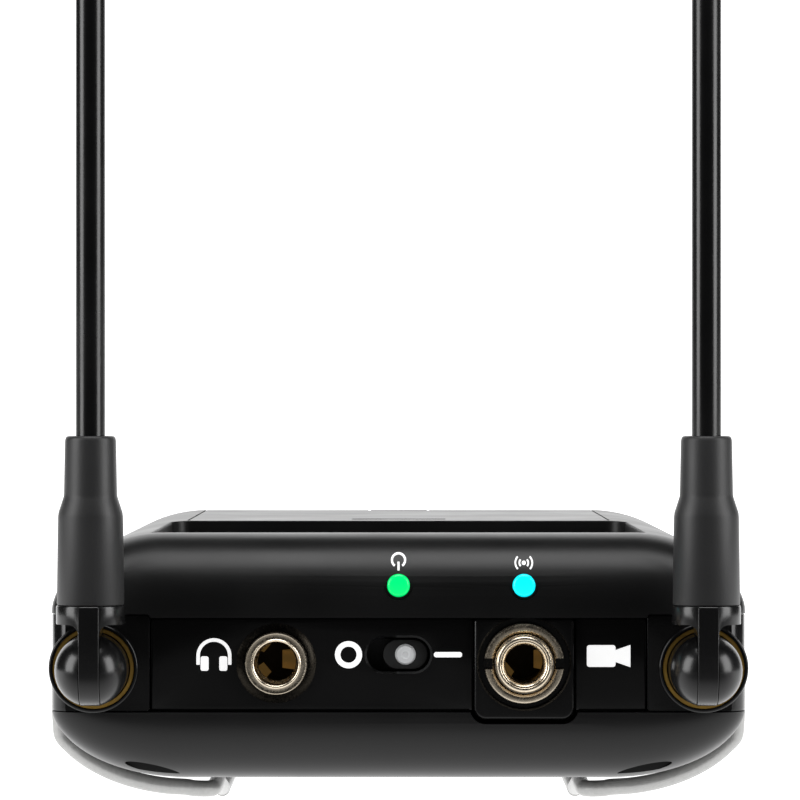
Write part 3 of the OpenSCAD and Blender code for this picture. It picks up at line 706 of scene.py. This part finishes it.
def ball(side, word, body):
    x = side * SWIVEL_X
    angles = [math.radians(a) for a in range(0, 91, 3)]
    dome = [(BALL_R * math.sin(a), -FOLD_Y - BALL_R * math.cos(a)) for a in angles]
    stem = [(2.2, -0.35), (2.2, 8.3), (1.8, 8.3), (1.8, 8.9), (2.2, 8.9), (2.2, 9.3), (2.1, 9.4), (0, 9.4)]
    outline = dome + [(BALL_R, -0.4), (BALL_R - 0.05, -0.35)] + stem
    part = lathe("ball_" + word, outline, "Y", (x, 0, SWIVEL_Z), 96)
    sides = (x - TONGUE_HALF, x + TONGUE_HALF)
    cut = box("slot", sides, (-FOLD_Y - 5, -FOLD_Y + BALL_R + 0.1), (SWIVEL_Z - 5, SWIVEL_Z + 5))
    pin = rod_along("pin_room", 0.61, "X", (x, -FOLD_Y, SWIVEL_Z), -2.7, 2.7)
    boolean(part, [cut, pin])
    return finish_piece(part, body, M["turret_black"], ["turret_" + word], 28)


def lifted(obj, side):
    obj.data.transform(Matrix.Translation((side * SWIVEL_X, -FOLD_Y, SWIVEL_Z)))
    return obj


def antenna(side, word, body):
    r = BALL_R - 0.1
    cap_low = 4.35
    cap_high = 6.1
    neck = 0.95
    outline = arc(0, 0, r, r, 180, 360, 40) + [(r, cap_high - 0.06), (-r, cap_high - 0.06)]
    tongue = prism_yz("tongue", outline, (-neck, neck))
    bevel(tongue, 0.12, 3, 60)
    outline = [(0, cap_low - neck), (3.2, cap_low - neck), (3.2, cap_high - 0.18), (3.15, cap_high - 0.05)]
    outline += [(3.0, cap_high), (1.1, cap_high), (1.1, 10), (0, 10)]
    cap = lathe("cap_" + word, outline, "Z", steps=96)
    for s in (-1, 1):
        curve = [(s * (2 * neck - x), z) for x, z in arc(0, cap_low - neck, neck, neck, 0, 90, 16)]
        curve = [(s * neck, -1)] + curve + [(s * 5, cap_low), (s * 5, -1)]
        boolean(cap, [prism_y("arch", curve if s > 0 else curve[::-1], (-6, 6))])
    bevel(cap, 0.07, 2, 40)
    boolean(cap, [tongue], "UNION")
    boolean(cap, [rod_along("pin_room", 0.65, "X", (0, 0, 0), -3, 3)])
    finish_piece(lifted(cap, side), body, M["turret_black"], ["antenna_base_" + word], 28)

    outline = [(1.1, cap_high), (2.98, cap_high), (3.09, cap_high + 0.04), (3.13, cap_high + 0.16)]
    outline += [(3.02, 14.3), (2.97, 14.7), (2.58, 15.9), (2.5, 16.15), (2.47, 16.4)]
    outline += [(2.37, 21.35), (2.31, 21.62), (2.18, 21.77), (2.0, 21.8)]
    outline += [(WHIP_R + 0.05, 21.8), (WHIP_R + 0.02, 21.6), (WHIP_R + 0.02, 10), (1.1, 10)]
    boot = lathe("boot_" + word, outline, "Z", steps=96)
    finish_piece(lifted(boot, side), body, M["boot_rubber"], ["antenna_boot_" + word], 60)

    top = ANTENNA_L - 13.4
    whip = lathe("whip_" + word, [(0, 10.05), (WHIP_R, 10.05), (WHIP_R, top), (0, top)], "Z", steps=64)
    finish_piece(lifted(whip, side), body, M["whip_black"], ["antenna_whip_" + word])
    tip_r = 1.42
    outline = [(0, top + 0.05), (1.36, top + 0.05), (tip_r, top + 0.12)]
    outline += arc(0, ANTENNA_L - 1.4, tip_r, 1.35, 0, 90, 15)
    tip = lathe("tip_" + word, outline, "Z", steps=64)
    finish_piece(lifted(tip, side), body, M["whip_black"], ["antenna_tip_" + word], 45)


# ---------------------------------------------------------------- belt clip
def clip_route():
    """The wire's centre line on the left side, as in the CAD clip, in case millimetres."""
    arm = CASE_HALF + 0.07
    leg = 18.0
    low = -BELT_GAP - WIRE_R
    points = [(-CASE_HALF + 2.0, PIVOT_Y, PIVOT_Z), (-CASE_HALF + 0.9, PIVOT_Y, PIVOT_Z)]
    points += [(-arm, PIVOT_Y, PIVOT_Z - 0.9), (-arm, PIVOT_Y, PIVOT_Z - 2), (-arm, PIVOT_Y + 0.3, 6.4)]
    points += [(-arm + 0.05, PIVOT_Y + 0.7, 4.6)]
    rx, rz = LOW_RX + WIRE_R + 0.35, LOW_RZ + 1.7
    points += [(x, CLIP_Y, z) for x, z in arc(-CASE_HALF + LOW_RX, LOW_RZ, rx, rz, 205, 268, 9)]
    points += [(-leg - 1.8, CLIP_Y + 0.3, -1.85), (-leg - 0.5, CLIP_Y + 1.2, -1.95)]
    points += [(-leg, y, z) for y, z in ((CLIP_Y + 3, -1.95), (27, -2.15), (38, low + 0.2), (42, low))]
    points += [(-leg, 78, low), (-leg, 82, low + 0.4)]
    points += [(-leg + 0.4, 88, -1.9), (-leg + 2, 91, -1.25), (-leg + 5, 92.3, -1.1)]
    return points


def wire_clip():
    left = clip_route()
    points = left + [(-x, y, z) for x, y, z in reversed(left)]
    points = catmull(points, 6)
    part = tube("wire_clip", points, WIRE_R, 20)
    return finish_piece(part, "clip", M["clip_wire"], ["belt_clip"], 60)


def catmull(points, steps):
    p = [Vector(q) for q in points]
    out = []
    for i in range(len(p) - 1):
        a, b, c, d = p[max(i - 1, 0)], p[i], p[i + 1], p[min(i + 2, len(p) - 1)]
        for k in range(steps):
            t = k / steps
            out.append(0.5 * (2 * b + (c - a) * t + (2 * a - 5 * b + 4 * c - d) * t * t
                              + (3 * b - a - 3 * c + d) * t * t * t))
    return out + [p[-1]]


def tube(name, points, radius, sides):
    """A round tube along points, with its rings carried along without twist."""
    verts, faces = [], []
    up = Vector((0, 0, 1))
    n = len(points)
    for i, p in enumerate(points):
        ahead = (points[min(i + 1, n - 1)] - points[max(i - 1, 0)]).normalized()
        up = (up - up.dot(ahead) * ahead).normalized()
        other = ahead.cross(up)
        for k in range(sides):
            a = 2 * math.pi * k / sides
            verts.append(p + radius * (math.cos(a) * up + math.sin(a) * other))
    for i in range(n - 1):
        for k in range(sides):
            m = (k + 1) % sides
            faces.append((i * sides + k, i * sides + m, (i + 1) * sides + m, (i + 1) * sides + k))
    faces += [tuple(range(sides - 1, -1, -1)), tuple(range((n - 1) * sides, n * sides))]
    return mesh_object(name, verts, faces)


# ---------------------------------------------------------------- printed marks
def printed(name, outlines, y, holes=()):
    """Flat ink marks on a face at y, from x, z outlines, a hair proud of the panel."""
    pieces = [prism_y(name, o, (y - INK_T, y + 0.01)) for o in outlines]
    part = pieces[0]
    boolean(part, pieces[1:], "UNION")
    if holes:
        boolean(part, [prism_y("hole", o, (y - 1, y + 1)) for o in holes])
    return finish_piece(part, "case", M["ink_white"])


def circle(cx, cz, r, n=48):
    return arc(cx, cz, r, r, 0, 360, n)[:-1]


def band(cx, cz, r_out, r_in, start, end, n=28):
    """A curved stroke between two angles."""
    return arc(cx, cz, r_out, r_out, start, end, n) + arc(cx, cz, r_in, r_in, end, start, n)


def marks():
    z = SLOT_Z
    printed("mark_off", [circle(-4.7, z, 1.28)], 0, [circle(-4.7, z, 0.76)])
    printed("mark_on", [rounded_rect(3.32, 5.98, z - 0.25, z + 0.25, 0.24, 6)], 0)
    cx, cz = -17.35, 11.8
    printed("mark_headphones", [
        band(cx, cz, 1.65, 1.32, 0, 180),
        rounded_rect(cx - 1.65, cx - 1.32, cz - 0.85, cz + 0.1, 0.05, 3),
        rounded_rect(cx + 1.32, cx + 1.65, cz - 0.85, cz + 0.1, 0.05, 3),
    ], 0)
    for x in (cx - 0.88, cx + 0.88):
        printed("mark_ear_pad", [rounded_rect(x - 0.38, x + 0.38, cz - 1.42, cz - 0.05, 0.2, 5)], 0)
    x0 = 17.7
    printed("mark_camera", [
        rounded_rect(x0, x0 + 2.7, z - 1.15, z + 0.9, 0.25, 6),
        [(x0 + 2.6, z - 0.65), (x0 + 2.6, z + 0.4), (x0 + 4.1, z + 0.92), (x0 + 4.1, z - 1.17)],
    ], 0)


def on_shoulder(x, z, lift):
    """A point on the case's rounded upper front edge, lifted off along the surface's own normal."""
    rise, reach = CASE_T - SHOULDER_Z, SHOULDER_IN + NEAR_OUT
    up = (z - SHOULDER_Z) / rise
    flat = math.sqrt(1 - up * up)
    normal = Vector((0, -flat / reach, up / rise)).normalized()
    return Vector((x, SHOULDER_IN - reach * flat, z)) + lift * normal


def shoulder_stroke(name, left, right):
    """An ink stroke between two lines of x, z points, laid on the shoulder."""
    verts, faces = [], []
    for (xa, za), (xb, zb) in zip(left, right):
        verts += [on_shoulder(xa, za, INK_T), on_shoulder(xb, zb, INK_T)]
        verts += [on_shoulder(xb, zb, -INK_T), on_shoulder(xa, za, -INK_T)]
    n = len(left)
    for i in range(n - 1):
        for k in range(4):
            m = (k + 1) % 4
            faces.append((4 * i + k, 4 * i + m, 4 * i + 4 + m, 4 * i + 4 + k))
    faces += [(0, 1, 2, 3), (4 * n - 1, 4 * n - 2, 4 * n - 3, 4 * n - 4)]
    return finish_piece(mesh_object(name, verts, faces), "case", M["ink_white"])


def lamp_marks():
    """A power mark and a radio mark above the two lamps. The power mark reads from the case's front."""
    z = 20.75
    ring = [arc(0, z, r, r, -55, 235, 40) for r in (0.72, 0.52)]
    shoulder_stroke("mark_power_ring", *ring)
    bar = [z - 0.95 + 0.1 * i for i in range(9)]
    shoulder_stroke("mark_power_bar", [(-0.1, h) for h in bar], [(0.1, h) for h in bar])
    z = 20.5
    dot = [arc(LOCK_X, z, 0.2, 0.2, 0, end, 16) for end in (180, -180)]
    shoulder_stroke("mark_radio_dot", *dot)
    for start in (-45, 135):
        for r in (0.5, 0.88):
            wave = [arc(LOCK_X, z, q, q, start, start + 90, 20) for q in (r, r - 0.16)]
            shoulder_stroke("mark_radio_wave", *wave)


def jack_springs(word, x, reach):
    """Bent leaf contacts inside a jack, seen through its bore."""
    pieces = []
    for turn, inward, half in ((0, reach, 0.85), (140, 1.4, 0.6), (220, 1.4, 0.6)):
        path = [(2.05, 3.6), (inward + 0.12, 7.1), (inward, 7.5), (inward + 0.12, 7.9), (2.05, 9.6)]
        back = [(p[0] + 0.16, p[1]) for p in reversed(path)]
        leaf = prism_z(word + "_spring", path + back, (-half, half))
        bevel(leaf, 0.04, 2)
        spin = Matrix.Rotation(math.radians(turn), 4, "Y")
        leaf.data.transform(Matrix.Translation((x, turn / 60, JACK_Z)) @ spin)
        pieces.append(leaf)
    boolean(pieces[0], pieces[1:], "UNION")
    return finish_piece(pieces[0], "case", M["leaf_gold"], [word + "_contacts"])


# ---------------------------------------------------------------- build
rear_case()
front_case()
connector_panel()
camera_plate()
control_deck()
display_glass()
door()
key("menu", -KEY_X)
key("set", KEY_X)
headphone_socket()
camera_socket()
slotted_nut()
slider()
lamp("power_lamp", 0, "lens_green", "power_lens")
lamp("signal_lamp", LOCK_X, "lens_blue", "signal_lens")
for side, word, letter in ((-1, "left", "l"), (1, "right", "r")):
    antenna_block(side, word)
    socket(side, word)
    ball(side, word, "turret_" + letter)
    antenna(side, word, "antenna_" + letter)
wire_clip()
marks()
lamp_marks()
jack_springs("headphone", PHONE_X, 0.4)
jack_springs("camera", LOCK_X, 1.1)


# ---------------------------------------------------------------- stage, light and camera
STAGE_GLOW = 1.45
STAGE_WHITE = 1.35
SKY_GLOW = 0.02
SKY_WHITE = 1.0


def stage_material():
    """A floor that lights the case from below, and fades out in front of the connector panel."""
    mat, nodes, links, shader = principled("pale_floor", (0.15, 0.15, 0.15), 0.7, specular=0.1)
    shader.inputs["Emission Color"].default_value = (1, 1, 1, 1)
    spot = nodes.new("ShaderNodeTexCoord")
    split = nodes.new("ShaderNodeSeparateXYZ")
    links.new(spot.outputs["Object"], split.inputs["Vector"])
    fade = nodes.new("ShaderNodeMapRange")
    fade.interpolation_type = "SMOOTHSTEP"
    fade.inputs["From Min"].default_value = -0.095
    fade.inputs["From Max"].default_value = -0.035
    fade.inputs["To Min"].default_value = 0.0
    fade.inputs["To Max"].default_value = STAGE_GLOW
    links.new(split.outputs["Y"], fade.inputs["Value"])
    glow = shown_white(nodes, links, fade.outputs["Result"], STAGE_WHITE)
    links.new(glow, shader.inputs["Emission Strength"])
    return mat


def shown_white(nodes, links, glow, shown):
    """What the studio gives off as light, and the even white it shows as a background."""
    path = nodes.new("ShaderNodeLightPath")
    mix = nodes.new("ShaderNodeMix")
    mix.data_type = "FLOAT"
    if isinstance(glow, float):
        mix.inputs["A"].default_value = glow
    else:
        links.new(glow, mix.inputs["A"])
    mix.inputs["B"].default_value = shown
    links.new(path.outputs["Is Camera Ray"], mix.inputs["Factor"])
    return mix.outputs["Result"]


def stage():
    """A pale floor that sweeps up into a backdrop."""
    half, depth, height, r = 1.2, 1.4, 1.4, 0.5
    profile = [(-1.0, 0.0), (depth - r, 0.0)]
    profile += [(y, z) for y, z in arc(depth - r, r, r, r, -90, 0, 16)]
    profile += [(depth, height)]
    verts = [(x, y, z) for y, z in profile for x in (-half, half)]
    faces = [(2 * i, 2 * i + 1, 2 * i + 3, 2 * i + 2) for i in range(len(profile) - 1)]
    floor = mesh_object("floor", verts, faces)
    floor.data.materials.append(stage_material())
    for polygon in floor.data.polygons:
        polygon.use_smooth = True


def area_light(name, place_at, aim, size, power, color=(1, 1, 1)):
    data = bpy.data.lights.new(name, "AREA")
    data.shape = "RECTANGLE"
    data.size, data.size_y = size
    data.energy = power
    data.color = color
    light = bpy.data.objects.new(name, data)
    light.location = place_at
    light.rotation_euler = (Vector(aim) - Vector(place_at)).to_track_quat("-Z", "Y").to_euler()
    bpy.context.scene.collection.objects.link(light)


def lights():
    world = bpy.data.worlds.new("studio")
    world.use_nodes = True
    sky = world.node_tree.nodes["Background"]
    sky.inputs["Color"].default_value = (1, 1, 1, 1)
    links = world.node_tree.links
    strength = shown_white(world.node_tree.nodes, links, SKY_GLOW, SKY_WHITE)
    links.new(strength, sky.inputs["Strength"])
    bpy.context.scene.world = world
    area_light("top", (0, -0.15, 0.6), (0, -0.03, 0.02), (0.5, 0.3), 2.0)
    area_light("left", (-0.55, -0.25, 0.2), (0, -0.04, 0.03), (0.3, 0.5), 2.6)
    area_light("right", (0.55, -0.25, 0.2), (0, -0.04, 0.03), (0.3, 0.5), 2.6)


def camera():
    """Level camera in front of the connector end."""
    distance = 450.0
    field = 75.2
    centre_above_back = 35.84
    data = bpy.data.cameras.new("camera")
    data.sensor_width = 36
    data.lens = 36 * distance / field
    data.clip_start = 0.01
    cam = bpy.data.objects.new("camera", data)
    cam.location = (0.14 * MM, (PANEL_Y - distance) * MM, (BACK_Z + centre_above_back) * MM)
    cam.rotation_euler = (math.radians(90), 0, 0)
    bpy.context.scene.collection.objects.link(cam)
    bpy.context.scene.camera = cam


stage()
lights()
camera()
bpy.context.scene.view_settings.view_transform = "Standard"
